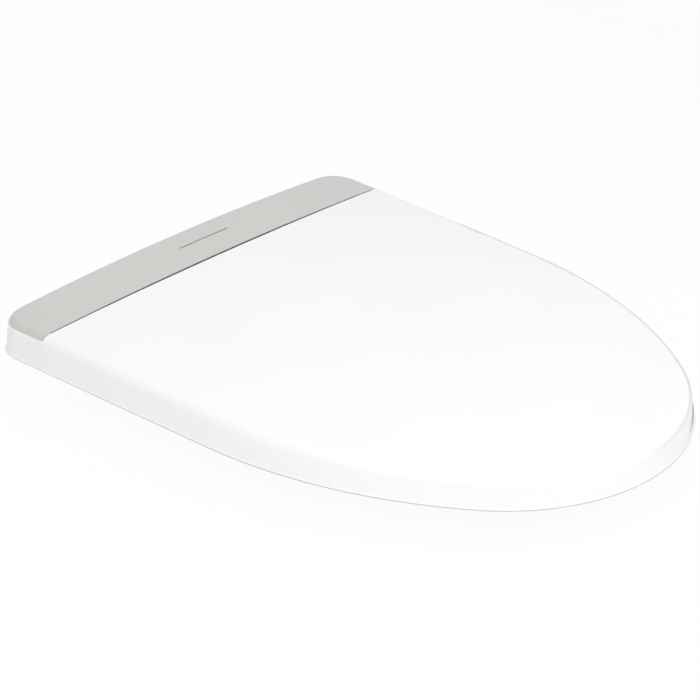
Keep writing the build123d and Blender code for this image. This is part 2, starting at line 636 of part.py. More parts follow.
def nozzle_guide():
    """Open channel that carries the wand, on two legs."""
    channel = Pos(0, -3.0) * Rectangle(15.0, 8.0)
    guide = extrude(nozzle_plane(12.0) * channel, amount=-(WAND_LENGTH - 14.0))
    for near in (16.0, 84.0):
        y, z = nozzle_place(near)
        guide += block(-5.0, 5.0, y - 3.0, y + 3.0, TRAY_FLOOR_Z, z - 1.0)
    guide -= extrude(nozzle_plane(-5.0) * Circle(WAND_RADIUS + SLIDE_GAP), amount=-(WAND_LENGTH + 20.0))
    rack_room = Pos(FAR / 2, FAR / 2 - RACK_HEIGHT / 2 - SLIDE_GAP) * Rectangle(FAR, FAR)
    guide -= extrude(nozzle_plane(-5.0) * rack_room, amount=-(WAND_LENGTH + 20.0))
    pinion_room = drive_plane(-RACK_HEIGHT) * Circle(PINION_RADIUS + TOOTH_DEPTH)
    return guide - extrude(pinion_room, amount=2 * RACK_HEIGHT)


def drive_plane(lift):
    """Plane square to the pinion's axis, lifted along it."""
    tilt = math.radians(NOZZLE_TILT)
    y, z = nozzle_place(PINION_BACK)
    centre = (PINION_X, y - lift * math.sin(tilt), z + lift * math.cos(tilt))
    return Plane(centre, (1, 0, 0), (0, -math.sin(tilt), math.cos(tilt)))


def nozzle_pinion():
    """Drive pinion on its shaft."""
    root = PINION_RADIUS - TOOTH_DEPTH / 2 - TOOTH_PLAY
    tip = PINION_RADIUS + TOOTH_DEPTH / 2 - TOOTH_PLAY
    points = []
    for step in range(PINION_TEETH):
        turn = math.pi + 2 * math.pi * step / PINION_TEETH
        for radius, half in ((root, -1.05), (tip, -0.35), (tip, 0.35), (root, 1.05)):
            angle = turn + half / radius
            points.append((radius * math.cos(angle), radius * math.sin(angle)))
    wheel = extrude(drive_plane(-2.0) * make_face(Polyline(*points, close=True)), amount=4.0)
    return wheel + extrude(drive_plane(0.0) * Circle(SHAFT_RADIUS), amount=11.0)


def nozzle_motor():
    """Geared motor above the pinion, hung from the tongue."""
    body = extrude(drive_plane(5.0) * Circle(10.0), amount=12.0)
    body = fillet(body.faces().sort_by(Axis.Z)[-1].edges(), 1.5)
    y, z = nozzle_place(PINION_BACK)
    body += rod_z(PINION_X, y - 4.0, z + 14.0, TONGUE_TOP_Z - HOUSING_WALL, 5.0)
    return body - extrude(drive_plane(0.0) * Circle(SHAFT_RADIUS + RUNNING_GAP), amount=12.0)


def blower_case():
    """Scroll case of the dryer blower with its spout."""
    def shape(wall):
        z0, z1 = TRAY_FLOOR_Z + wall, BLOWER_Z1 - wall
        scroll = rod_z(BLOWER_X, BLOWER_Y, z0, z1, BLOWER_RADIUS - wall)
        y0, y1 = CROSS_Y0 + wall, CROSS_Y1 - wall
        low, high = DUCT_Z0 - DUCT_WALL + wall, DUCT_Z1 + DUCT_WALL - wall
        return scroll + block(SPOUT_X, BLOWER_X, y0, y1, low, high)
    case = shape(0.0) - shape(DUCT_WALL)
    case -= rod_z(BLOWER_X, BLOWER_Y, BLOWER_Z1 - 3, BLOWER_Z1 + 1, SHAFT_RADIUS + 1.0)
    slots = PolarLocations(BLOWER_RADIUS - 7.0, 12)
    for place in slots:
        case -= Pos(BLOWER_X, BLOWER_Y, BLOWER_Z1) * place * Box(6.0, 3.0, 8.0)
    return case


def blower_impeller():
    """Vaned wheel on the blower shaft."""
    z0 = TRAY_FLOOR_Z + DUCT_WALL + 1.4
    wheel = rod_z(BLOWER_X, BLOWER_Y, z0, z0 + 1.4, IMPELLER_RADIUS)
    wheel += rod_z(BLOWER_X, BLOWER_Y, z0, z0 + 6.0, 4.5)
    for step in range(IMPELLER_VANES):
        vane = Pos(IMPELLER_RADIUS - 2.0, 0, 0) * Rot(0, 0, 35) * Box(4.2, 0.8, 10.0)
        wheel += Pos(BLOWER_X, BLOWER_Y, z0 + 5.0) * Rot(0, 0, 360.0 * step / IMPELLER_VANES) * vane
    return wheel + rod_z(BLOWER_X, BLOWER_Y, z0, BLOWER_Z1 + 7.0, SHAFT_RADIUS)


def blower_motor():
    """Motor can on top of the blower case."""
    can = rod_z(BLOWER_X, BLOWER_Y, BLOWER_Z1, BLOWER_Z1 + 13.0, 9.5)
    can = fillet(can.faces().sort_by(Axis.Z)[-1].edges(), 1.5)
    return can - rod_z(BLOWER_X, BLOWER_Y, BLOWER_Z1 - 1, BLOWER_Z1 + 8.0, SHAFT_RADIUS + RUNNING_GAP)


def dryer_duct():
    """Air duct from the blower spout to the outlet in the tongue."""
    def shape(wall, reach):
        z0, z1 = DUCT_Z0 - DUCT_WALL + wall, DUCT_Z1 + DUCT_WALL - wall
        x0, x1 = DUCT_X0 - DUCT_WALL + wall, DUCT_X1 + DUCT_WALL - wall
        y0, y1 = CROSS_Y0 + wall, CROSS_Y1 - wall
        along = block(x0, x1, TONGUE_FRONT_Y + HOUSING_WALL - reach, y1, z0, z1)
        return along + block(x0, SPOUT_X + reach, y0, y1, z0, z1)
    return shape(0.0, 0.0) - shape(DUCT_WALL, 1.0)


def flap_axis():
    """Middle of the flap's pin line."""
    return TONGUE_FRONT_Y + HOUSING_WALL / 2, DUCT_Z1 - 1.6


def dryer_flap():
    """Outlet flap with its two pins."""
    y, z = flap_axis()
    x0, x1 = DUCT_X0 + SLIDE_GAP, DUCT_X1 - SLIDE_GAP
    plate = block(x0, x1, y - FLAP_THICK / 2, y + FLAP_THICK / 2, DUCT_Z0 + SLIDE_GAP, z)
    plate += rod_x(x0, x1, y, z, FLAP_THICK / 2)
    return plate + rod_x(x0 - 2.0, x1 + 2.0, y, z, FLAP_PIN_RADIUS)


def water_heater():
    """Flow heater block with its ports and terminals."""
    body = block(HEATER_X0, HEATER_X1, 2, 30, TRAY_FLOOR_Z, 40)
    body = fillet(body.edges().filter_by(Axis.Z), 4.0)
    pitch = (HEATER_X1 - HEATER_X0 - 12.0) / (HEATER_FINS - 1)
    for step in range(HEATER_FINS):
        x = HEATER_X0 + 6.0 + pitch * step
        body -= block(x, x + 2.0, 0, 3.2, 12, 36)
    for x in (HEATER_X0 + 10.0, HEATER_X1 - 12.0):
        body += rod_z(x, 16, 40, 45, 3.0) - rod_z(x, 16, 42, 46, 1.8)
    return body


def water_pump():
    """Small pump with its motor, laid across the base."""
    y, z = 20.0, TRAY_FLOOR_Z + 11.0
    pump = rod_x(-46, -22, y, z, 11.0) + rod_x(-22, -13, y, z, 8.0)
    pump = fillet(pump.faces().sort_by(Axis.X)[0].edges(), 2.0)
    pump += rod_z(-36, y, z, z + 17, 3.0)
    return pump - rod_z(-36, y, z + 12, z + 18, 1.8)


def inlet_valve():
    """Solenoid valve behind the water inlet."""
    body = block(INLET_X - VALVE_HALF, INLET_X + VALVE_HALF, 14, 30, TRAY_FLOOR_Z, 24)
    body = fillet(body.edges().filter_by(Axis.Z), 3.0)
    body += rod_z(INLET_X + 8.0, 22, 24, 38, 7.0)
    x = INLET_X - 8.0
    return body + rod_z(x, 22, 24, 34, 3.0) - rod_z(x, 22, 29, 36, 1.8)


def water_inlet():
    """Threaded inlet stub at the rear, with its bore."""
    stub = rod_y(INLET_X, FITTING_STEP_Y, FITTING_REAR_Y, FITTING_Z, INLET_RADIUS)
    stub = chamfer(stub.faces().sort_by(Axis.Y)[-1].edges(), 0.8)
    stub += rod_y(INLET_X, 30, FITTING_STEP_Y, FITTING_Z, INLET_RADIUS - 1.3)
    return stub - rod_y(INLET_X, 34, FAR, FITTING_Z, 4.0)


def cord_gland():
    """Gland where the power cord enters at the rear."""
    gland = rod_y(GLAND_X, 34, FITTING_STEP_Y + 5.0, FITTING_Z, GLAND_RADIUS)
    gland = fillet(gland.faces().sort_by(Axis.Y)[-1].edges(), 1.5)
    return gland - rod_y(GLAND_X, 30, 60, FITTING_Z, CORD_RADIUS)


def board_places(side):
    """Post positions of one circuit board."""
    places = []
    for x in (32.0, 128.0):
        places += [(side * x, -3.2), (side * x, 35.6)]
    return places


def board_posts():
    """Posts and screws that hold both boards."""
    posts = Part()
    for side in (-1, 1):
        for x, y in board_places(side):
            posts += rod_z(x, y, LEDGE_TOP_Z, BOARD_Z, 2.0)
            posts += screw(x, y, BOARD_Z + BOARD_THICK, BOARD_THICK)
    return posts


def circuit_board(side, parts):
    """Circuit board with its components."""
    x0, x1 = sorted((side * 26.0, side * 164.0))
    board = block(x0, x1, -5.8, 38.6, BOARD_Z, BOARD_Z + BOARD_THICK)
    for x, y in board_places(side):
        board -= rod_z(x, y, BOARD_Z - 1, BOARD_Z + 3, 1.5)
    top = BOARD_Z + BOARD_THICK
    for x, y, dx, dy, dz in parts:
        board += block(x - dx / 2, x + dx / 2, y - dy / 2, y + dy / 2, top, top + dz)
    return board


def main_board():
    """Control board."""
    chips = [(60, 14, 14, 14, 1.6), (90, 10, 9, 6, 1.4), (90, 24, 9, 6, 1.4), (148, 16, 6, 26, 5.0)]
    return circuit_board(1, chips)


def power_board():
    """Supply board with transformer and capacitors."""
    board = circuit_board(-1, [(-66, 16, 24, 22, 7.0), (-104, 8, 8, 14, 5.0), (-150, 16, 6, 26, 5.0)])
    for y in (6.0, 18.0, 30.0):
        board += rod_z(-88, y, BOARD_Z + BOARD_THICK, BOARD_Z + BOARD_THICK + 7.0, 4.0)
    return board


def deodorizer_sleeve():
    """Sleeve that guides the deodorizer cartridge."""
    g = SLIDE_GAP
    w = CARTRIDGE_Z0 - LEDGE_TOP_Z - g
    y1 = REAR_REACH - 11.0
    outer = block(CARTRIDGE_X0 - g - w, CARTRIDGE_X1 + g + w, -4.0, y1, LEDGE_TOP_Z, CARTRIDGE_Z1 + g + w)
    return outer - block(CARTRIDGE_X0 - g, CARTRIDGE_X1 + g, -2.0, FAR, CARTRIDGE_Z0 - g, CARTRIDGE_Z1 + g)


def deodorizer_cartridge():
    """Filter cartridge with a grip in its rear face."""
    body = OUTER & block(CARTRIDGE_X0, CARTRIDGE_X1, 0.0, FAR, CARTRIDGE_Z0, CARTRIDGE_Z1)
    middle = (CARTRIDGE_X0 + CARTRIDGE_X1) / 2
    body -= block(middle - 8, middle + 8, REAR_REACH - 8, FAR, CARTRIDGE_Z0 + 3, CARTRIDGE_Z1 - 3)
    for step in range(6):
        x = CARTRIDGE_X0 + 3.0 + 4.0 * step
        body -= block(x, x + 1.6, 3.0, 30.0, CARTRIDGE_Z1 - 6, CARTRIDGE_Z1 + 1)
    return body


def release_button():
    """Side button with the plunger that works the release."""
    key = OUTER & block(BUTTON_X0, FAR, BUTTON_Y0, BUTTON_Y1, BUTTON_Z0, BUTTON_Z1)
    y, z = (BUTTON_Y0 + BUTTON_Y1) / 2, (BUTTON_Z0 + BUTTON_Z1) / 2
    return key + rod_x(SWITCH_X1 - 6.0, BUTTON_X0, y, z, SHAFT_RADIUS)


def release_switch():
    """Guide block of the release plunger."""
    y, z = (BUTTON_Y0 + BUTTON_Y1) / 2, (BUTTON_Z0 + BUTTON_Z1) / 2
    body = block(SWITCH_X1 - 12.0, SWITCH_X1, y - 6, y + 6, LEDGE_TOP_Z, z + 5)
    return body - rod_x(SWITCH_X1 - 6.0 - BUTTON_TRAVEL - 0.5, FAR, y, z, SHAFT_RADIUS + RUNNING_GAP)


PIECES = {
    "lid_shell": lid_shell,
    "lid_bumpers": lid_bumpers,
    "lid_shaft": lambda: hinge_shaft(1),
    "seat_upper": seat_upper,
    "seat_lower": seat_lower,
    "seat_heater": seat_heater,
    "seat_bumpers": seat_bumpers,
    "seat_shaft": lambda: hinge_shaft(-1),
    "base_tray": base_tray,
    "base_cover": base_cover,
    "top_panel": top_panel,
    "status_window": status_window,
    "hinge_bracket_left": lambda: hinge_bracket(-1),
    "hinge_bracket_right": lambda: hinge_bracket(1),
    "seat_damper": lambda: damper(-1),
    "lid_damper": lambda: damper(1),
    "bracket_screws": bracket_screws,
    "mounting_plate": mounting_plate,
    "base_feet": base_feet,
    "nozzle_wand": nozzle_wand,
    "nozzle_tip": nozzle_tip,
    "nozzle_guide": nozzle_guide,
    "nozzle_pinion": nozzle_pinion,
    "nozzle_motor": nozzle_motor,
    "blower_case": blower_case,
    "blower_impeller": blower_impeller,
    "blower_motor": blower_motor,
    "dryer_duct": dryer_duct,
    "dryer_flap": dryer_flap,
    "water_heater": water_heater,
    "water_pump": water_pump,
    "inlet_valve": inlet_valve,
    "water_inlet": water_inlet,
    "cord_gland": cord_gland,
    "main_board": main_board,
    "power_board": power_board,
    "board_posts": board_posts,
    "deodorizer_sleeve": deodorizer_sleeve,
    "deodorizer_cartridge": deodorizer_cartridge,
    "release_button": release_button,
    "release_switch": release_switch,
}


def main():
    """Build every piece and write it to the parts folder."""
    os.makedirs("parts", exist_ok=True)
    for name, build in PIECES.items():
        export_step(build(), f"parts/{name}.step")


if __name__ == "__main__":
    main()
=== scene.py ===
import json
import math

import bpy
from mathutils import Matrix, Vector


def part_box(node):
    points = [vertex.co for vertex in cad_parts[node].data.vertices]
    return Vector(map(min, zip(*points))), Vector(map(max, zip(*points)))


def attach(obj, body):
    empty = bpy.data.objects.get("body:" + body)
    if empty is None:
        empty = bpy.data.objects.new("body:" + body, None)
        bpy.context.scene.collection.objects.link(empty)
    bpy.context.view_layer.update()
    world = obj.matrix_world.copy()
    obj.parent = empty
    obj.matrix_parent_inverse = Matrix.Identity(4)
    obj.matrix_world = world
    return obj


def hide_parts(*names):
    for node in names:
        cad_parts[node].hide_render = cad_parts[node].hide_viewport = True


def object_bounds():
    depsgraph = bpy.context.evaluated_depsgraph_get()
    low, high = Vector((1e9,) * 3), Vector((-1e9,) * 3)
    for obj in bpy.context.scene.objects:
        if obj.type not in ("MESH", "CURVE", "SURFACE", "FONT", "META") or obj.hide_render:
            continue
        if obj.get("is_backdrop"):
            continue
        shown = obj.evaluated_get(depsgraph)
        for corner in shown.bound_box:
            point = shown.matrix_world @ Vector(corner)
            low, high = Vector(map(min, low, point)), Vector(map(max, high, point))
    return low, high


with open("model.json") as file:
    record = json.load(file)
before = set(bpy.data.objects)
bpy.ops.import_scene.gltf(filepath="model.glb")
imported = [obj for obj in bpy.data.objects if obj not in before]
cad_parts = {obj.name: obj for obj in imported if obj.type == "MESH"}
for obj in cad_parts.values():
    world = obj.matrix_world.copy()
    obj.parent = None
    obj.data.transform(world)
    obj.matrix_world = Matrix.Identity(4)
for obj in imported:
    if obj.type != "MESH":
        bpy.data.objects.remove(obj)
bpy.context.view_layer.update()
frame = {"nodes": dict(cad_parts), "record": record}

bl_info = {
    "name": "Bidet seat dressing",
    "version": (1, 0, 0),
    "blender": (4, 5, 0),
    "location": "View3D > Sidebar > Bidet seat",
    "description": "Finishes an electric bidet seat: lid, seat ring, rear housing and spray works",
    "category": "Object",
}

SLOT_OF_NODE = {row["node"]: row["material_slot"] for row in frame["record"]["subparts"]}
FINISHES = {}

# Camera of the photograph, in pixels, degrees and metres
IMAGE_PIXELS = 700
FOCAL_PIXELS = 2817.74
CAMERA_AZIMUTH = -46.76
CAMERA_ELEVATION = 27.85
CAMERA_DISTANCE = 2.2089
CAMERA_TARGET = Vector((-0.02861, -0.18644, 0.045))
SENSOR_WIDTH_MM = 36.0

# Front end of the housing, the bend of the seal along it and the inner side of the lips, in metres
TOP_Z = 0.0615
PANEL_FRONT_Y = -0.011
SEAL_DROP = 0.0008
SEAL_BEND = 4.35
SEAL_DEPTH = 0.008
SEAL_STEPS = 24
LIP_INNER_X = 0.1932
PLANE_TOLERANCE = 2e-6
PLACE_DIGITS = 5

# Levels of the painted shade line at the foot of lid and housing, in metres
FOOT_TOP_Z = 0.0296
FOOT_LINE_Z = 0.0288
FOOT_TURN_Z = 0.0284
FOOT_END_Z = 0.02805

# Hose inlet, along its axis from its inner end or across it, in metres; the crest in shares of the pitch
INLET_SHOULDER = 0.0130
INLET_THREAD = 0.0155
INLET_CHAMFER = 0.0006
INLET_NECK_STEP = 0.0005
INLET_LEAD = 0.0009
INLET_TIP_STEP = 0.0002
CREST_FROM, CREST_TO = 0.42, 0.58
INLET_BORE = 0.0040
INLET_BORE_END = 0.0040
BORE_CHAMFER = 0.0004

# Cord grommet, in metres; valleys and ribs in shares of the pitch
GROMMET_COLLAR = 0.0092
GROMMET_BORE = 0.0036
RIB_HEIGHT = 0.0012
RIB_EASE = 0.0003
RIB_TAPER = 0.0002
GROMMET_NOSE = 0.0010
VALLEY_FROM, VALLEY_TO = 0.05, 0.40
RIB_FROM, RIB_TO = 0.48, 0.92

# Tray screws, in metres, and their head's profile as shares of its radius and height
TRAY_UNDERSIDE_Z = 0.004
TRAY_SCREW_PLACES = ((-0.112, -0.008), (0.112, -0.008), (-0.085, -0.060), (0.085, -0.060))
SCREW_PROFILE = ((0.0, 0.0), (1.0, 0.0), (1.0, 0.45), (0.90, 0.78), (0.66, 0.95), (0.35, 1.0), (0.0, 1.0))
RECESS_WIDTH = 0.0011
RECESS_ARM = 0.0012
RECESS_DEPTH = 0.0026

# Stage, in metres
AIM_POINT = Vector((0.0, -0.2, 0.05))
OVERHEAD_PLACE, OVERHEAD_SIDE = (-0.3, -0.5, 1.8), 1.6
NEAR_PLACE, FAR_PLACE, FLANK_SIDE = (-1.7, -1.9, 0.9), (1.3, -1.3, 1.3), 1.2
FLOOR_DROP = 0.0005
UNDER_CARD_DROP = 0.0002
UNDER_CARD_Y = -0.19
UNDER_CARD_HALF = (0.225, 0.31, 1.0)
RIM_CARD_RADIUS = 0.36
RIM_CARD_HEIGHT = 0.07
RIM_CARD_Y = -0.2
RIM_CARD_LAST_Y = -0.02
FLAG_X, FLAG_Y = 0.75, 0.1
FLAG_LENGTH = 2.6

# Mesh work, in degrees, metres and counts
TURNED_SMOOTH = 32
STRIP_SMOOTH = 30
MERGE_DISTANCE = 1e-6
TURN_STEPS = 56
SCREW_STEPS = 40


def linear(hex_colour):
    """Linear RGBA of an sRGB hex colour such as F4F5F3."""
    channels = [int(hex_colour[i:i + 2], 16) / 255 for i in (0, 2, 4)]
    return tuple(c / 12.92 if c <= 0.04045 else ((c + 0.055) / 1.055) ** 2.4 for c in channels) + (1.0,)


class SeatLooks(bpy.types.PropertyGroup):
    """Colours that a user would change."""
    lid_white: bpy.props.FloatVectorProperty(
        name="Lid white", description="Colour of the lid and housing", size=4, subtype="COLOR",
        min=0, max=1, default=linear("F8F9F8"))
    seat_white: bpy.props.FloatVectorProperty(
        name="Seat white", description="Colour of the seat ring", size=4, subtype="COLOR",
        min=0, max=1, default=linear("F3F4F2"))
    panel_grey: bpy.props.FloatVectorProperty(
        name="Panel grey", description="Colour of the rear panel", size=4, subtype="COLOR",
        min=0, max=1, default=linear("CACAC7"))
    window_smoke: bpy.props.FloatVectorProperty(
        name="Window smoke", description="Colour of the status window", size=4, subtype="COLOR",
        min=0, max=1, default=linear("7C7B70"))


class DetailSizes(bpy.types.PropertyGroup):
    """Sizes of the small pieces that are modelled here."""
    thread_pitch: bpy.props.FloatProperty(
        name="Thread pitch", description="Distance between crests of the inlet thread",
        default=0.00134, unit="LENGTH")
    thread_depth: bpy.props.FloatProperty(
        name="Thread depth", description="Height of a crest over its root", default=0.00086, unit="LENGTH")
    rib_count: bpy.props.IntProperty(
        name="Grommet ribs", description="Bending ribs round the cord grommet", default=4, min=2, max=6)
    screw_head: bpy.props.FloatProperty(
        name="Screw head", description="Diameter of a tray screw's head", default=0.0072, unit="LENGTH")
    screw_height: bpy.props.FloatProperty(
        name="Screw height", description="Height of a tray screw's head", default=0.0022, unit="LENGTH")
    seal_half_length: bpy.props.FloatProperty(
        name="Seal half length", description="Reach of the hinge seal to each side",
        default=0.184, unit="LENGTH")
    seal_foot: bpy.props.FloatProperty(
        name="Seal foot", description="Thickness of the hinge seal at its foot", default=0.00025, unit="LENGTH")
    seal_head: bpy.props.FloatProperty(
        name="Seal head", description="Thickness of the hinge seal at its top", default=0.0007, unit="LENGTH")
    lip_thickness: bpy.props.FloatProperty(
        name="Lip thickness", description="Reach of the soft lip into the seam beside the lid",
        default=0.00035, unit="LENGTH")


class StageLooks(bpy.types.PropertyGroup):
    """Studio sizes and light levels."""
    floor_size: bpy.props.FloatProperty(
        name="Floor size", description="Side of the square floor", default=12.0, unit="LENGTH")
    floor_white: bpy.props.FloatProperty(
        name="Floor white", description="Share of plain white that the floor shows",
        default=0.95, subtype="FACTOR")
    world_level: bpy.props.FloatProperty(
        name="World level", description="Strength of the even white surround", default=0.52)
    overhead_power: bpy.props.FloatProperty(
        name="Overhead power", description="Power of the softbox above the seat", default=13.1, unit="POWER")
    near_power: bpy.props.FloatProperty(
        name="Near power", description="Power of the softbox on the near side", default=15.2, unit="POWER")
    far_power: bpy.props.FloatProperty(
        name="Far power", description="Power of the softbox on the far side", default=11.7, unit="POWER")
    flag_height: bpy.props.FloatProperty(
        name="Flag height", description="Height of the black card behind the far side",
        default=0.45, unit="LENGTH")


def add_node(tree, kind, inputs=None, **settings):
    """One shader node with its settings, and its inputs set to values or linked to sockets."""
    made = tree.nodes.new(kind)
    for name, value in settings.items():
        setattr(made, name, value)
    for name, value in (inputs or {}).items():
        if isinstance(value, bpy.types.NodeSocket):
            tree.links.new(value, made.inputs[name])
        else:
            made.inputs[name].default_value = value
    return made


def new_material(name):
    """Empty node material, its tree and its output node."""
    material = bpy.data.materials.new(name)
    material.use_nodes = True
    tree = material.node_tree
    tree.nodes.clear()
    return material, tree, add_node(tree, "ShaderNodeOutputMaterial")


def per_metre(millimetres):
    """Texture scale whose features are this many millimetres across."""
    return 1000.0 / millimetres


def shaded(colour, share):
    """A colour darkened by a share."""
    return tuple(channel * (1.0 - share) for channel in colour[:3]) + (1.0,)


def blend(tree, factor, first, second):
    """Colour between two colours, by a factor."""
    return add_node(tree, "ShaderNodeMix", {0: factor, 6: first, 7: second}, data_type="RGBA").outputs[2]


def noise(tree, place, size_mm, detail=2.0):
    """Soft noise whose features have a real size."""
    return add_node(tree, "ShaderNodeTexNoise", {
        "Vector": place, "Scale": per_metre(size_mm), "Detail": detail}).outputs["Fac"]


def spread(tree, value, low, high):
    """A value from 0 to 1 laid out between two values."""
    return add_node(tree, "ShaderNodeMapRange", {
        "Value": value, "To Min": low, "To Max": high}).outputs["Result"]


def relief(tree, height, strength, depth_mm):
    """Normal of a fine relief with a real depth."""
    return add_node(tree, "ShaderNodeBump", {
        "Height": height, "Strength": strength, "Distance": depth_mm / 1000.0}).outputs["Normal"]


def painted_foot_shade(tree, place, tint, share):
    """Tint that greys by a share in a fine line round the lower edge: painted shade, standing in for the shade
    under the foot's rounded edge.
    """
    level = add_node(tree, "ShaderNodeSeparateXYZ", {"Vector": place}).outputs["Z"]
    above = add_node(tree, "ShaderNodeMapRange", {
        "Value": level, "From Min": FOOT_TOP_Z, "From Max": FOOT_LINE_Z, "To Min": 0.0, "To Max": share})
    below = add_node(tree, "ShaderNodeMapRange", {
        "Value": level, "From Min": FOOT_END_Z, "From Max": FOOT_TURN_Z})
    line = add_node(tree, "ShaderNodeMath", {0: above.outputs["Result"], 1: below.outputs["Result"]},
                    operation="MULTIPLY")
    # Grey of the painted shade line
    return blend(tree, line.outputs[0], tint, linear("6E6E6C"))


def moulded_plastic(name, colour, shade, roughness, grain_mm, relief_mm, ior, coat=0.0, foot_shade_share=0.0):
    """Moulded plastic: slow flow shading, roughness in soft patches, a fine skin relief and, when asked for, a
    painted shade line round the lower edge.
    """
    flow_mm, patch_mm = 70.0, 18.0
    material, tree, output = new_material(name)
    place = add_node(tree, "ShaderNodeTexCoord").outputs["Object"]
    tint = blend(tree, noise(tree, place, flow_mm), colour, shaded(colour, shade))
    # Painted shade line round the lower edge
    if foot_shade_share:
        tint = painted_foot_shade(tree, place, tint, foot_shade_share)
    patches = noise(tree, place, patch_mm, detail=3.0)
    gloss = spread(tree, patches, roughness * 0.85, roughness * 1.2)
    skin = relief(tree, noise(tree, place, grain_mm), 1.0, relief_mm)
    shader = add_node(tree, "ShaderNodeBsdfPrincipled", {
        "Base Color": tint, "Roughness": gloss, "IOR": ior, "Coat Weight": coat, "Coat Roughness": 0.08,
        "Normal": skin})
    tree.links.new(shader.outputs["BSDF"], output.inputs["Surface"])
    return material


def worked_metal(name, colour, shade, roughness, line_mm, axis_scale):
    """Turned, rolled or plated metal: fine tool lines that stretch along one axis."""
    line_depth_mm = 0.05
    material, tree, output = new_material(name)
    place = add_node(tree, "ShaderNodeTexCoord").outputs["Object"]
    drawn = add_node(tree, "ShaderNodeMapping", {"Vector": place, "Scale": axis_scale})
    lines = noise(tree, drawn.outputs["Vector"], line_mm, detail=4.0)
    shader = add_node(tree, "ShaderNodeBsdfPrincipled", {
        "Base Color": blend(tree, lines, colour, shaded(colour, shade)), "Metallic": 1.0,
        "Roughness": spread(tree, lines, roughness * 0.7, roughness * 1.4),
        "Normal": relief(tree, lines, 0.4, line_depth_mm)})
    tree.links.new(shader.outputs["BSDF"], output.inputs["Surface"])
    return material


def circuit_board(name):
    """Solder mask over glass laminate: green lacquer with paler copper runs beneath."""
    run_mm, weave_mm, weave_depth_mm = 4.0, 1.0, 0.05
    material, tree, output = new_material(name)
    place = add_node(tree, "ShaderNodeTexCoord").outputs["Object"]
    runs = add_node(tree, "ShaderNodeTexBrick", {
        "Vector": place, "Color1": linear("1E5A35"), "Color2": linear("236340"), "Mortar": linear("3E8A58"),
        "Scale": per_metre(run_mm), "Mortar Size": 0.06, "Brick Width": 2.4, "Row Height": 0.7})
    weave = relief(tree, noise(tree, place, weave_mm), 0.5, weave_depth_mm)
    shader = add_node(tree, "ShaderNodeBsdfPrincipled", {
        "Base Color": runs.outputs["Color"], "Roughness": 0.32, "IOR": 1.55, "Normal": weave})
    tree.links.new(shader.outputs["BSDF"], output.inputs["Surface"])
    return material


def make_finishes(looks):
    """Every finish of the seat, by the record's slot name."""
    return {
        # Polypropylene from a polished mould: bright and wet-looking, with orange peel and a painted shade line
        # along the lower edge
        "white_gloss": moulded_plastic("gloss_moulded_polypropylene", looks.lid_white, 0.03, 0.16, 9.0, 0.004,
                                       1.49, foot_shade_share=0.45),
        # Same resin with a softer polish where skin touches it
        "seat_white": moulded_plastic("satin_moulded_polypropylene", looks.seat_white, 0.03, 0.30, 5.0, 0.006,
                                      1.49),
        # Silver-grey lacquer over ABS: even, slightly pearly, half gloss
        "panel_grey": moulded_plastic("lacquered_grey_abs", looks.panel_grey, 0.04, 0.34, 1.2, 0.004, 1.52,
                                      coat=0.3),
        # Textured mould skin of an underside: dull white
        "tray_white": moulded_plastic("textured_moulded_abs", linear("E6E8E6"), 0.05, 0.48, 1.0, 0.03, 1.53),
        # Smoked acrylic over an unlit lamp board: dark, clear gloss
        "smoked_lens": moulded_plastic("smoked_acrylic", looks.window_smoke, 0.12, 0.10, 12.0, 0.002, 1.49),
        # Silicone: soft, dull, lint-grey
        "grey_rubber": moulded_plastic("moulded_grey_silicone", linear("B9BBBB"), 0.10, 0.62, 1.4, 0.02, 1.41),
        # Turned stainless bar: bright rings round the shaft
        "steel": worked_metal("turned_stainless_steel", linear("D6D7D9"), 0.22, 0.22, 0.4, (1.0, 0.1, 0.1)),
        # Glass-filled nylon: near black with a dry skin
        "dark_plastic": moulded_plastic("glass_filled_nylon", linear("1E1E20"), 0.25, 0.65, 0.9, 0.02, 1.53),
        # Natural grey acetal: waxy, even
        "mid_plastic": moulded_plastic("moulded_grey_acetal", linear("BABCBE"), 0.08, 0.42, 1.2, 0.015, 1.48),
        # Polished ABS of the wand: clean, hard gloss
        "wand_white": moulded_plastic("polished_white_abs", linear("F2F3F1"), 0.05, 0.14, 7.0, 0.003, 1.53),
        "board_green": circuit_board("solder_masked_laminate"),
        # Rolled aluminium foil: bright with long rolling lines
        "heater_foil": worked_metal("rolled_aluminium_foil", linear("DDDEE0"), 0.22, 0.30, 1.2,
                                    (1.0, 0.08, 1.0)),
        # Turned brass of the hose thread: warm, with rings round its axis
        "brass": worked_metal("turned_brass", linear("DDBB72"), 0.25, 0.26, 0.5, (0.1, 1.0, 0.1)),
        # Zinc-plated steel: cool, slightly cloudy
        "zinc_steel": worked_metal("zinc_plated_steel", linear("C9CDD2"), 0.22, 0.34, 2.5, (1.0, 1.0, 1.0)),
    }


def finish_of(slot):
    """Material made for a slot."""
    if slot not in FINISHES:
        raise RuntimeError("The finishes are made before the pieces")
    return FINISHES[slot]


def dress(*nodes):
    """Gives CAD nodes the finish of their slot."""
    for name in nodes:
        piece = frame["nodes"][name]
        piece.data.materials.clear()
        piece.data.materials.append(finish_of(SLOT_OF_NODE[name]))


def hand_over(piece, body, slot):
    """Gives a modelled piece its finish and the body that carries it."""
    piece.data.materials.clear()
    piece.data.materials.append(finish_of(slot))
    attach(piece, body)


def new_piece(name, add_primitive, **settings):
    """A mesh primitive by itself, with its name."""
    bpy.ops.object.select_all(action="DESELECT")
    add_primitive(**settings)
    piece = bpy.context.active_object
    piece.name = name
    return piece


def settle():
    """Puts the active piece's place, turn and scale into its mesh."""
    bpy.ops.object.transform_apply(location=True, rotation=True, scale=True)


def choose(piece):
    """Makes a piece the only one that is selected."""
    bpy.ops.object.select_all(action="DESELECT")
    bpy.context.view_layer.objects.active = piece
    piece.select_set(True)


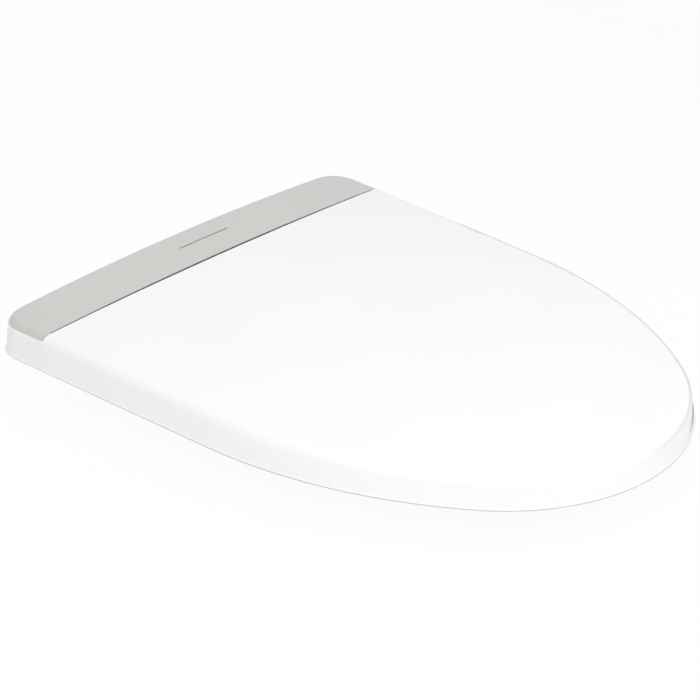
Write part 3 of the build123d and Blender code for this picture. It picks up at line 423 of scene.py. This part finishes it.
def pick_faces(piece, wanted):
    """Opens a piece in edit mode with only the wanted faces selected."""
    bpy.ops.object.mode_set(mode="EDIT")
    bpy.ops.mesh.select_mode(type="FACE")
    bpy.ops.mesh.select_all(action="DESELECT")
    bpy.ops.object.mode_set(mode="OBJECT")
    for face in piece.data.polygons:
        face.select = wanted(face)
    bpy.ops.object.mode_set(mode="EDIT")


def close_skin(piece, smooth_degrees):
    """Merges the seams of a skin, turns it outward and smooths it up to an angle."""
    bpy.ops.object.mode_set(mode="EDIT")
    bpy.ops.mesh.select_all(action="SELECT")
    bpy.ops.mesh.remove_doubles(threshold=MERGE_DISTANCE)
    bpy.ops.mesh.delete_loose()
    bpy.ops.mesh.select_all(action="SELECT")
    bpy.ops.mesh.normals_make_consistent(inside=False)
    bpy.ops.object.mode_set(mode="OBJECT")
    bpy.ops.object.shade_smooth_by_angle(angle=math.radians(smooth_degrees))
    return piece


def section_piece(name, points, fill="NOTHING"):
    """A circle whose points are set on a section."""
    piece = new_piece(name, bpy.ops.mesh.primitive_circle_add, vertices=len(points), fill_type=fill)
    for point, place in zip(piece.data.vertices, points):
        point.co = place
    return piece


def spin_section(steps, angle, centre, axis):
    """Spins the active piece's section about an axis."""
    bpy.ops.object.mode_set(mode="EDIT")
    bpy.ops.mesh.select_all(action="SELECT")
    bpy.ops.mesh.spin(steps=steps, angle=angle, center=centre, axis=axis)
    bpy.ops.object.mode_set(mode="OBJECT")


def turned(name, section, centre, axis, steps=TURN_STEPS):
    """Turned piece: a half section of radius and place along the axis, spun once round."""
    points = [centre + Vector((radius, 0.0, 0.0)) + axis * along for radius, along in section]
    piece = section_piece(name, points)
    spin_section(steps, math.tau, centre, axis)
    return close_skin(piece, TURNED_SMOOTH)


def axis_middle(low, high):
    """Point at y = 0 on the axis along y through the middle of a box."""
    return Vector(((low.x + high.x) / 2, 0.0, (low.z + high.z) / 2))


class OBJECT_OT_bidet_finishes(bpy.types.Operator):
    """Makes the finishes of all pieces"""
    bl_idname = "object.bidet_finishes"
    bl_label = "Finishes"

    def execute(self, context):
        FINISHES.update(make_finishes(context.scene.bidet_looks))
        return {"FINISHED"}


class OBJECT_OT_bidet_lid(bpy.types.Operator):
    """Gives the lid its polished skin and its buffers their silicone"""
    bl_idname = "object.bidet_lid"
    bl_label = "Lid"

    def execute(self, context):
        dress("lid_shell", "lid_bumpers")
        return {"FINISHED"}


class OBJECT_OT_bidet_seat_ring(bpy.types.Operator):
    """Gives the heated seat ring its satin skin, foil and buffers"""
    bl_idname = "object.bidet_seat_ring"
    bl_label = "Seat ring"

    def execute(self, context):
        dress("seat_upper", "seat_lower", "seat_heater", "seat_bumpers")
        return {"FINISHED"}


class OBJECT_OT_bidet_housing(bpy.types.Operator):
    """Finishes the housing, its grey panel, window, button, feet and mounting plate"""
    bl_idname = "object.bidet_housing"
    bl_label = "Housing"

    def execute(self, context):
        dress("base_tray", "base_cover", "top_panel", "status_window", "base_feet", "mounting_plate",
              "release_button", "release_switch")
        return {"FINISHED"}


class OBJECT_OT_bidet_hinge_line(bpy.types.Operator):
    """Finishes the shafts, soft-close dampers, brackets and their screws"""
    bl_idname = "object.bidet_hinge_line"
    bl_label = "Hinge line"

    def execute(self, context):
        dress("hinge_bracket_left", "hinge_bracket_right", "seat_damper", "lid_damper", "seat_shaft",
              "lid_shaft", "bracket_screws")
        return {"FINISHED"}


class OBJECT_OT_bidet_spray(bpy.types.Operator):
    """Finishes the spray wand, its guide, motor and pinion"""
    bl_idname = "object.bidet_spray"
    bl_label = "Spray wand"

    def execute(self, context):
        dress("nozzle_wand", "nozzle_tip", "nozzle_pinion", "nozzle_guide", "nozzle_motor")
        return {"FINISHED"}


class OBJECT_OT_bidet_air(bpy.types.Operator):
    """Finishes the dryer's blower, duct and flap, and the deodorizer cartridge"""
    bl_idname = "object.bidet_air"
    bl_label = "Dryer and deodorizer"

    def execute(self, context):
        dress("blower_case", "blower_motor", "blower_impeller", "dryer_duct", "dryer_flap",
              "deodorizer_sleeve", "deodorizer_cartridge")
        return {"FINISHED"}


class OBJECT_OT_bidet_water(bpy.types.Operator):
    """Finishes the water heater, pump and inlet valve"""
    bl_idname = "object.bidet_water"
    bl_label = "Water works"

    def execute(self, context):
        dress("water_heater", "water_pump", "inlet_valve")
        return {"FINISHED"}


class OBJECT_OT_bidet_boards(bpy.types.Operator):
    """Finishes the circuit boards and their posts"""
    bl_idname = "object.bidet_boards"
    bl_label = "Circuit boards"

    def execute(self, context):
        dress("main_board", "power_board", "board_posts")
        return {"FINISHED"}


class OBJECT_OT_bidet_inlet(bpy.types.Operator):
    """Turns the brass hose inlet with its shoulder and thread"""
    bl_idname = "object.bidet_inlet"
    bl_label = "Hose inlet"

    def execute(self, context):
        pitch = context.scene.bidet_sizes.thread_pitch
        low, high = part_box("water_inlet")
        crest = (high.x - low.x) / 2
        root = crest - context.scene.bidet_sizes.thread_depth
        neck = root - INLET_NECK_STEP
        shoulder_y, thread_y = low.y + INLET_SHOULDER, low.y + INLET_THREAD
        section = [(0.0, low.y), (neck, low.y), (neck, shoulder_y), (crest, shoulder_y),
                   (crest, thread_y - INLET_CHAMFER), (root, thread_y)]
        for turn in range(int((high.y - INLET_LEAD - thread_y) / pitch)):
            start = thread_y + turn * pitch
            section += [(crest, start + pitch * CREST_FROM), (crest, start + pitch * CREST_TO),
                        (root, start + pitch)]
        section += [(root - INLET_TIP_STEP, high.y), (INLET_BORE + BORE_CHAMFER, high.y),
                    (INLET_BORE, high.y - BORE_CHAMFER), (INLET_BORE, low.y + INLET_BORE_END),
                    (0.0, low.y + INLET_BORE_END)]
        inlet = turned("inlet_union", section, axis_middle(low, high), Vector((0, 1, 0)))
        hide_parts("water_inlet")
        hand_over(inlet, "base", "brass")
        dress("water_inlet")
        return {"FINISHED"}


class OBJECT_OT_bidet_grommet(bpy.types.Operator):
    """Turns the ribbed grommet where the power cord enters"""
    bl_idname = "object.bidet_grommet"
    bl_label = "Cord grommet"

    def execute(self, context):
        ribs = context.scene.bidet_sizes.rib_count
        low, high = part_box("cord_gland")
        rim = (high.x - low.x) / 2
        neck = rim - RIB_HEIGHT
        collar_y = low.y + GROMMET_COLLAR
        section = [(GROMMET_BORE, low.y), (rim, low.y), (rim, collar_y)]
        pitch = (high.y - collar_y) / ribs
        for rib in range(ribs):
            start = collar_y + rib * pitch
            valley = neck - RIB_TAPER * rib
            crest = rim - RIB_TAPER * rib - RIB_EASE
            section += [(valley, start + pitch * VALLEY_FROM), (valley, start + pitch * VALLEY_TO),
                        (crest, start + pitch * RIB_FROM), (crest, start + pitch * RIB_TO)]
        section += [(neck - GROMMET_NOSE, high.y), (GROMMET_BORE + BORE_CHAMFER, high.y),
                    (GROMMET_BORE, high.y - BORE_CHAMFER)]
        grommet = turned("cord_grommet", section, axis_middle(low, high), Vector((0, 1, 0)))
        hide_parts("cord_gland")
        hand_over(grommet, "base", "dark_plastic")
        dress("cord_gland")
        return {"FINISHED"}


def cross_cutter(centre):
    """Cross-shaped cutter for a screw's recess: a bar's four sides pulled out into arms."""
    cutter = new_piece("recess_cutter", bpy.ops.mesh.primitive_cube_add, size=1.0, location=centre,
                       scale=(RECESS_WIDTH, RECESS_WIDTH, RECESS_DEPTH))
    settle()
    pick_faces(cutter, lambda face: abs(face.normal.z) < 0.5)
    bpy.ops.mesh.extrude_faces_move(TRANSFORM_OT_shrink_fatten={"value": RECESS_ARM})
    bpy.ops.mesh.select_all(action="SELECT")
    bpy.ops.mesh.normals_make_consistent(inside=False)
    bpy.ops.object.mode_set(mode="OBJECT")
    return cutter


class OBJECT_OT_bidet_tray_screws(bpy.types.Operator):
    """Models one cross-recess pan-head screw and sets copies of it under the tray"""
    bl_idname = "object.bidet_tray_screws"
    bl_label = "Tray screws"

    def execute(self, context):
        sizes = context.scene.bidet_sizes
        x, y = TRAY_SCREW_PLACES[0]
        seat = Vector((x, y, TRAY_UNDERSIDE_Z))
        section = [(sizes.screw_head / 2 * out, sizes.screw_height * down) for out, down in SCREW_PROFILE]
        screw = turned("tray_screw", section, seat, Vector((0, 0, -1)), SCREW_STEPS)
        cutter = cross_cutter(seat - Vector((0, 0, sizes.screw_height)))
        choose(screw)
        recess = screw.modifiers.new("recess", "BOOLEAN")
        recess.object = cutter
        recess.operation = "DIFFERENCE"
        bpy.ops.object.modifier_apply(modifier=recess.name)
        bpy.data.objects.remove(cutter, do_unlink=True)
        bpy.ops.object.shade_smooth_by_angle(angle=math.radians(TURNED_SMOOTH))
        hand_over(screw, "base", "zinc_steel")
        for other_x, other_y in TRAY_SCREW_PLACES[1:]:
            choose(screw)
            bpy.ops.object.duplicate(linked=False)
            copy = bpy.context.active_object
            copy.location = (other_x - x, other_y - y, 0.0)
            settle()
            hand_over(copy, "base", "zinc_steel")
        return {"FINISHED"}


class OBJECT_OT_bidet_gap_shade_seal(bpy.types.Operator):
    """Bends the dark seal that lines the panel's edge behind the lid; its darkness is painted shade for the gap
    there
    """
    bl_idname = "object.bidet_hinge_seal"
    bl_label = "Hinge seal"

    def execute(self, context):
        sizes = context.scene.bidet_sizes
        foot, head = sizes.seal_foot, sizes.seal_head
        waist, shoulder = foot * 1.2, (foot + head) * 0.52
        section = [(0.0, 0.0), (0.0, SEAL_DEPTH), (foot, SEAL_DEPTH), (waist, SEAL_DEPTH / 2),
                   (shoulder, SEAL_DEPTH / 4), (head, 0.0)]
        bow = math.asin(sizes.seal_half_length / SEAL_BEND)
        crest = Vector((0.0, PANEL_FRONT_Y, TOP_Z - SEAL_DROP))
        pivot = crest - Vector((0.0, 0.0, SEAL_BEND))
        start = Matrix.Rotation(-bow, 3, "Y")
        points = [pivot + start @ (crest - Vector((0.0, thickness, depth)) - pivot)
                  for thickness, depth in section]
        seal = section_piece("gap_shade_seal", points, fill="NGON")
        # A spin with a positive angle would turn away from the far side
        spin_section(SEAL_STEPS, -2 * bow, pivot, (0, 1, 0))
        close_skin(seal, STRIP_SMOOTH)
        # The near-black seal is painted shade in the gap behind the lid
        hand_over(seal, "base", "dark_plastic")
        return {"FINISHED"}


def end_border(side):
    """Outer border of the housing's front end on one side, from its foot up, read from the CAD mesh."""
    places = set()
    for point in frame["nodes"]["base_cover"].data.vertices:
        if abs(point.co.y - PANEL_FRONT_Y) < PLANE_TOLERANCE and side * point.co.x > LIP_INNER_X:
            places.add((round(point.co.z, PLACE_DIGITS), round(-side * point.co.x, PLACE_DIGITS)))
    return [Vector((-side * inward, PANEL_FRONT_Y, level)) for level, inward in sorted(places)]


class OBJECT_OT_bidet_side_lips(bpy.types.Operator):
    """Draws a soft lip off each front end of the housing, which closes the seam beside the lid"""
    bl_idname = "object.bidet_side_lips"
    bl_label = "Side lips"

    def execute(self, context):
        reach = Vector((0.0, -context.scene.bidet_sizes.lip_thickness, 0.0))
        for side, name in ((-1, "near_side_lip"), (1, "far_side_lip")):
            outer = end_border(side)
            if len(outer) < 3:
                raise RuntimeError("The housing's front end wasn't found")
            inner = [Vector((side * LIP_INNER_X, PANEL_FRONT_Y, point.z)) for point in (outer[-1], outer[0])]
            lip = section_piece(name, outer + inner, fill="NGON")
            bpy.ops.object.mode_set(mode="EDIT")
            bpy.ops.mesh.select_all(action="SELECT")
            bpy.ops.mesh.extrude_region_move(TRANSFORM_OT_translate={"value": reach})
            bpy.ops.object.mode_set(mode="OBJECT")
            close_skin(lip, STRIP_SMOOTH)
            hand_over(lip, "base", "white_gloss")
        return {"FINISHED"}


def background_rays(tree):
    """1 for rays that should see the plain white background, else 0."""
    path = add_node(tree, "ShaderNodeLightPath").outputs
    glossy = add_node(tree, "ShaderNodeMath", {0: path["Is Camera Ray"], 1: path["Is Glossy Ray"]},
                      operation="MAXIMUM")
    seen = add_node(tree, "ShaderNodeMath", {0: glossy.outputs[0], 1: path["Is Transmission Ray"]},
                    operation="MAXIMUM")
    return seen.outputs[0]


def lay_floor(size, white):
    """White floor that keeps a pale shadow."""
    floor = new_piece("studio_floor", bpy.ops.mesh.primitive_plane_add, size=size,
                      location=(0, 0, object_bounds()[0].z - FLOOR_DROP))
    settle()
    material, tree, output = new_material("white_paper_sweep")
    paper = add_node(tree, "ShaderNodeBsdfDiffuse", {"Color": linear("F4F4F4")})
    glow = add_node(tree, "ShaderNodeEmission", {"Color": linear("FFFFFF"), "Strength": 1.0})
    share = add_node(tree, "ShaderNodeMath", {0: background_rays(tree), 1: white}, operation="MULTIPLY")
    mixed = add_node(tree, "ShaderNodeMixShader", {
        0: share.outputs[0], 1: paper.outputs[0], 2: glow.outputs[0]})
    tree.links.new(mixed.outputs[0], output.inputs["Surface"])
    floor.data.materials.append(material)
    floor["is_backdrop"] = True


def light_surround(scene, level):
    """Even white surround, plain white where the camera sees it."""
    world = bpy.data.worlds.new("white_surround")
    world.use_nodes = True
    scene.world = world
    tree = world.node_tree
    tree.nodes.clear()
    strength = spread(tree, background_rays(tree), level, 1.0)
    glow = add_node(tree, "ShaderNodeBackground", {"Color": linear("FFFFFF"), "Strength": strength})
    output = add_node(tree, "ShaderNodeOutputWorld")
    tree.links.new(glow.outputs[0], output.inputs["Surface"])


def hang_softbox(name, place, side, power):
    """Square soft lamp aimed at the seat, out of the camera's sight."""
    bpy.ops.object.light_add(type="AREA", location=place)
    lamp = bpy.context.active_object
    lamp.name = name
    lamp.data.size = side
    lamp.data.energy = power
    lamp.visible_camera = False
    lamp.rotation_euler = (AIM_POINT - lamp.location).to_track_quat("-Z", "Y").to_euler()


def black_felt():
    """Felt of the cards that take light away: near black, with a soft pile."""
    pile_mm = 3.0
    material, tree, output = new_material("black_felt")
    place = add_node(tree, "ShaderNodeTexCoord").outputs["Object"]
    tint = blend(tree, noise(tree, place, pile_mm), linear("101010"), linear("181818"))
    felt = add_node(tree, "ShaderNodeBsdfDiffuse", {"Color": tint})
    tree.links.new(felt.outputs[0], output.inputs["Surface"])
    return material


def stand_flag(height):
    """Black card on the far side that gives the white edge a darker rim."""
    flag = new_piece("far_flag", bpy.ops.mesh.primitive_plane_add, size=1.0,
                     location=(FLAG_X, FLAG_Y, height / 2), rotation=(0, math.radians(90), 0))
    flag.scale = (height, FLAG_LENGTH, 1.0)
    settle()
    flag.data.materials.append(black_felt())
    flag.visible_camera = False
    flag.visible_glossy = False
    flag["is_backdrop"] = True


def show_in_reflections(card):
    """Leaves a card of the stage to glossy rays alone."""
    card.data.materials.append(black_felt())
    card.visible_camera = False
    card.visible_diffuse = False
    card.visible_shadow = False
    card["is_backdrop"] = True


def lay_card():
    """Oval black card under the seat, seen only in reflections, that draws its lower edge."""
    card = new_piece("under_card", bpy.ops.mesh.primitive_circle_add, vertices=64, radius=1.0,
                     fill_type="NGON")
    card.location = (0.0, UNDER_CARD_Y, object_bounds()[0].z - UNDER_CARD_DROP)
    card.scale = UNDER_CARD_HALF
    settle()
    show_in_reflections(card)


def curve_rim_card():
    """Low curved black card beyond the far edge, seen only in reflections, that draws a fine rim there."""
    card = new_piece("rim_card", bpy.ops.mesh.primitive_cylinder_add, vertices=72, radius=RIM_CARD_RADIUS,
                     depth=RIM_CARD_HEIGHT, end_fill_type="NOTHING",
                     location=(0.0, RIM_CARD_Y, RIM_CARD_HEIGHT / 2))
    settle()
    pick_faces(card, lambda face: face.normal.x < 0.3 or face.center.y > RIM_CARD_LAST_Y)
    bpy.ops.mesh.delete(type="FACE")
    bpy.ops.object.mode_set(mode="OBJECT")
    show_in_reflections(card)


def set_camera(scene):
    """Camera at the photograph's viewing angle."""
    azimuth, elevation = math.radians(CAMERA_AZIMUTH), math.radians(CAMERA_ELEVATION)
    back = Vector((math.sin(azimuth) * math.cos(elevation), -math.cos(azimuth) * math.cos(elevation),
                   math.sin(elevation)))
    bpy.ops.object.camera_add(location=CAMERA_TARGET + back * CAMERA_DISTANCE)
    camera = bpy.context.active_object
    camera.name = "photo_camera"
    camera.rotation_euler = (-back).to_track_quat("-Z", "Y").to_euler()
    camera.data.sensor_width = SENSOR_WIDTH_MM
    camera.data.lens = FOCAL_PIXELS / IMAGE_PIXELS * SENSOR_WIDTH_MM
    scene.camera = camera


class OBJECT_OT_bidet_stage(bpy.types.Operator):
    """Lays the floor, hangs the softboxes, sets the black cards and the camera"""
    bl_idname = "object.bidet_stage"
    bl_label = "Stage"

    def execute(self, context):
        stage = context.scene.bidet_stage
        lay_floor(stage.floor_size, stage.floor_white)
        light_surround(context.scene, stage.world_level)
        hang_softbox("overhead_softbox", OVERHEAD_PLACE, OVERHEAD_SIDE, stage.overhead_power)
        hang_softbox("near_softbox", NEAR_PLACE, FLANK_SIDE, stage.near_power)
        hang_softbox("far_softbox", FAR_PLACE, FLANK_SIDE, stage.far_power)
        lay_card()
        curve_rim_card()
        stand_flag(stage.flag_height)
        set_camera(context.scene)
        context.scene.view_settings.view_transform = "Standard"
        return {"FINISHED"}


class VIEW3D_PT_bidet_seat(bpy.types.Panel):
    """Lists the steps that dress the seat"""
    bl_idname = "VIEW3D_PT_bidet_seat"
    bl_label = "Bidet seat"
    bl_space_type = "VIEW_3D"
    bl_region_type = "UI"
    bl_category = "Bidet seat"

    def draw(self, context):
        for step in STEPS:
            self.layout.operator(step.bl_idname)
        for group in (context.scene.bidet_looks, context.scene.bidet_sizes, context.scene.bidet_stage):
            for name in group.__annotations__:
                self.layout.prop(group, name)


STEPS = (
    OBJECT_OT_bidet_finishes,
    OBJECT_OT_bidet_lid,
    OBJECT_OT_bidet_seat_ring,
    OBJECT_OT_bidet_housing,
    OBJECT_OT_bidet_hinge_line,
    OBJECT_OT_bidet_spray,
    OBJECT_OT_bidet_air,
    OBJECT_OT_bidet_water,
    OBJECT_OT_bidet_boards,
    OBJECT_OT_bidet_inlet,
    OBJECT_OT_bidet_grommet,
    OBJECT_OT_bidet_tray_screws,
    OBJECT_OT_bidet_gap_shade_seal,
    OBJECT_OT_bidet_side_lips,
    OBJECT_OT_bidet_stage,
)
CLASSES = (SeatLooks, DetailSizes, StageLooks) + STEPS + (VIEW3D_PT_bidet_seat,)


def register():
    for cls in CLASSES:
        bpy.utils.register_class(cls)
    bpy.types.Scene.bidet_looks = bpy.props.PointerProperty(type=SeatLooks)
    bpy.types.Scene.bidet_sizes = bpy.props.PointerProperty(type=DetailSizes)
    bpy.types.Scene.bidet_stage = bpy.props.PointerProperty(type=StageLooks)


def unregister():
    del bpy.types.Scene.bidet_stage
    del bpy.types.Scene.bidet_sizes
    del bpy.types.Scene.bidet_looks
    for cls in reversed(CLASSES):
        bpy.utils.unregister_class(cls)


def main():
    register()
    bpy.ops.object.bidet_finishes()
    bpy.ops.object.bidet_lid()
    bpy.ops.object.bidet_seat_ring()
    bpy.ops.object.bidet_housing()
    bpy.ops.object.bidet_hinge_line()
    bpy.ops.object.bidet_spray()
    bpy.ops.object.bidet_air()
    bpy.ops.object.bidet_water()
    bpy.ops.object.bidet_boards()
    bpy.ops.object.bidet_inlet()
    bpy.ops.object.bidet_grommet()
    bpy.ops.object.bidet_tray_screws()
    bpy.ops.object.bidet_hinge_seal()
    bpy.ops.object.bidet_side_lips()
    bpy.ops.object.bidet_stage()


if __name__ == "__main__":
    main()
